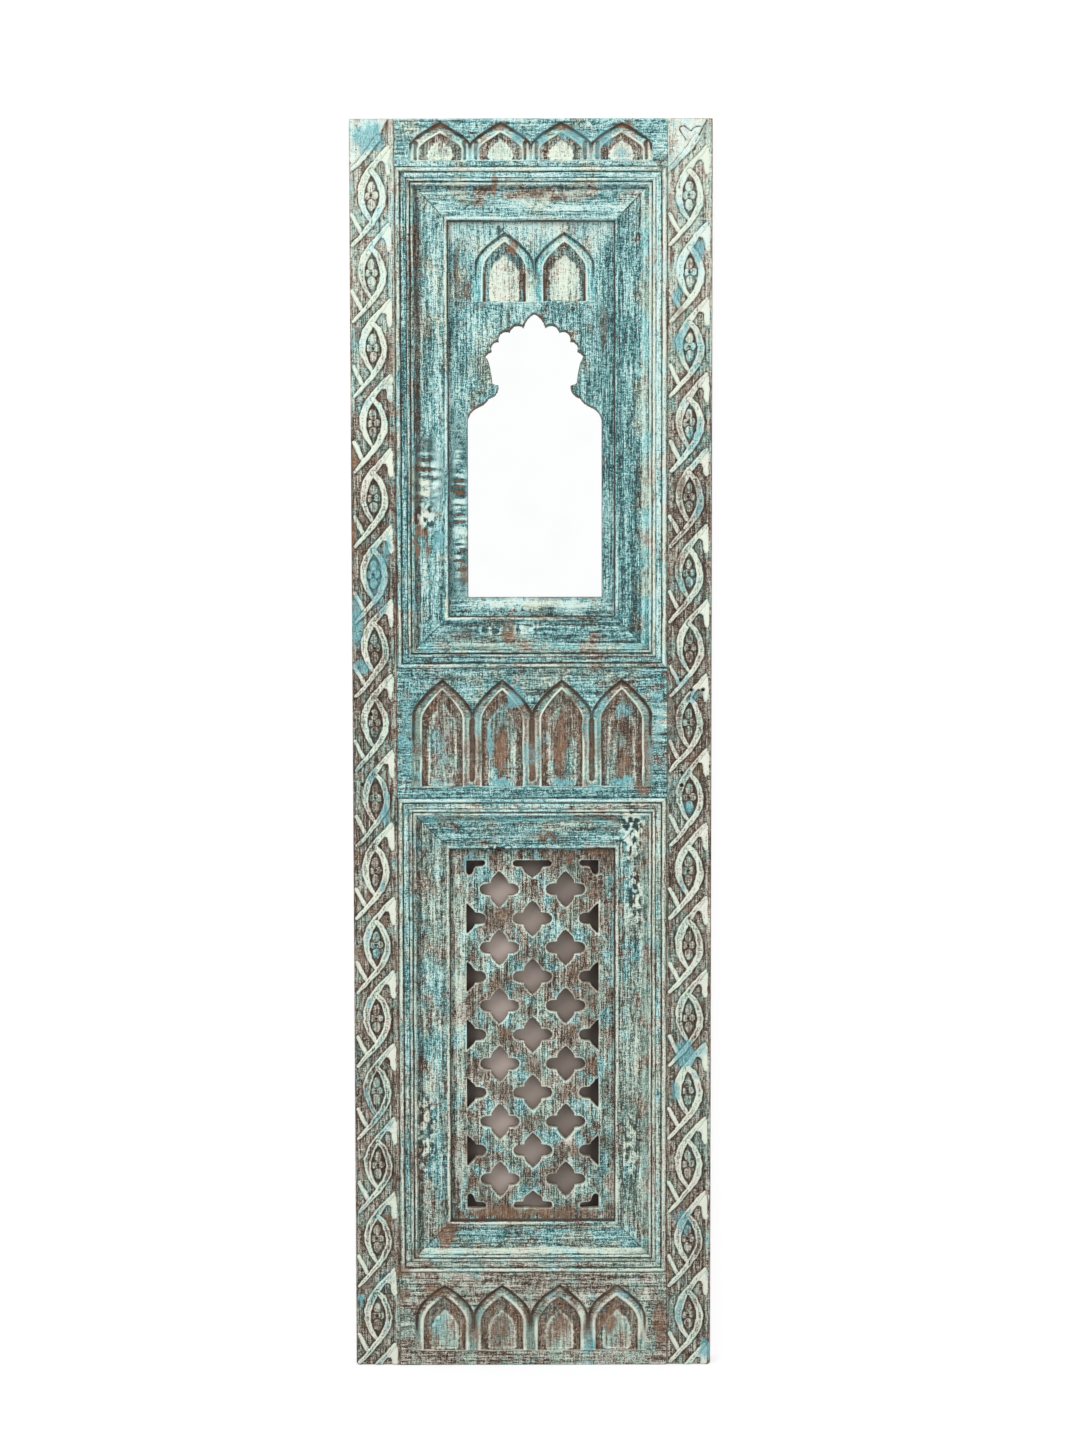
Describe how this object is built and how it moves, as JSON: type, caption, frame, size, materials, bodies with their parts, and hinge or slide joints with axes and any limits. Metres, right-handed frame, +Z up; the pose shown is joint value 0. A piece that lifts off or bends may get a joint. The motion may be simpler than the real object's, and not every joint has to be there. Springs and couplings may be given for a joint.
{
  "type": "rectangular mirror",
  "caption": "Tall rectangular wall mirror in a carved, painted wooden door panel, with a cusped arch over the glass and a pierced screen below.",
  "frame": {"origin": "midway between the two wall hooks that hold the hanger rings, on the plane of the frame's flat back", "axes": "+X to the right as seen from the carved front, +Y out of the back towards the wall, +Z up along the height"},
  "size_m": [0.526, 0.0539, 1.83],
  "materials": {
    "painted_wood": "distressed turquoise paint over carved wood",
    "painted_moulding": "distressed turquoise and cream paint",
    "painted_board": "distressed turquoise paint",
    "raw_wood": "bare sawn wood",
    "plywood": "thin plywood",
    "padding": "felt padding",
    "mirror": "silvered glass",
    "zinc": "zinc-plated steel",
    "iron": "dark wrought iron",
    "rubber": "matt black rubber"
  },
  "bodies": {
    "frame": {"left_stile": "painted_wood", "right_stile": "painted_wood", "top_rail": "painted_wood", "middle_rail": "painted_wood", "bottom_rail": "painted_wood", "upper_moulding_bottom": "painted_moulding", "upper_moulding_top": "painted_moulding", "upper_moulding_left": "painted_moulding", "upper_moulding_right": "painted_moulding", "lower_moulding_bottom": "painted_moulding", "lower_moulding_top": "painted_moulding", "lower_moulding_left": "painted_moulding", "lower_moulding_right": "painted_moulding", "upper_panel": "painted_board", "jali_panel": "painted_board", "mirror_glass": "mirror", "mirror_padding": "padding", "glass_stop_bottom": "raw_wood", "glass_stop_top": "raw_wood", "glass_stop_left": "raw_wood", "glass_stop_right": "raw_wood", "mirror_back_board": "plywood", "jali_back_board": "plywood", "joint_nail_left_1": "iron", "joint_nail_left_2": "iron", "joint_nail_right_3": "iron", "joint_nail_right_4": "iron", "joint_nail_right_5": "iron", "joint_nail_right_6": "iron", "joint_nail_right_7": "iron", "hanger_strap_left": "zinc", "wall_bumper_left": "rubber", "hanger_strap_right": "zinc", "wall_bumper_right": "rubber", "mirror_back_board_screw_low_left": "zinc", "mirror_back_board_screw_low_right": "zinc", "mirror_back_board_screw_middle_left": "zinc", "mirror_back_board_screw_middle_right": "zinc", "mirror_back_board_screw_high_left": "zinc", "mirror_back_board_screw_high_right": "zinc", "jali_back_board_screw_low_left": "zinc", "jali_back_board_screw_low_right": "zinc", "jali_back_board_screw_middle_left": "zinc", "jali_back_board_screw_middle_right": "zinc", "jali_back_board_screw_high_left": "zinc", "jali_back_board_screw_high_right": "zinc", "hanger_screw_left_upper": "zinc", "hanger_screw_left_lower": "zinc", "hanger_screw_right_upper": "zinc", "hanger_screw_right_lower": "zinc"},
    "ring_left": {"hanger_ring_left": "zinc"},
    "ring_right": {"hanger_ring_right": "zinc"}
  },
  "joints": [
    {"name": "ring_swing_left", "type": "hinge", "parent": "frame", "child": "ring_left", "pos_m": [-0.2375, 0.00335, 0], "axis": [1, 0, 0], "range_deg": [0, 180]},
    {"name": "ring_swing_right", "type": "hinge", "parent": "frame", "child": "ring_right", "pos_m": [0.2375, 0.00335, 0], "axis": [1, 0, 0], "range_deg": [0, 180]}
  ]
}
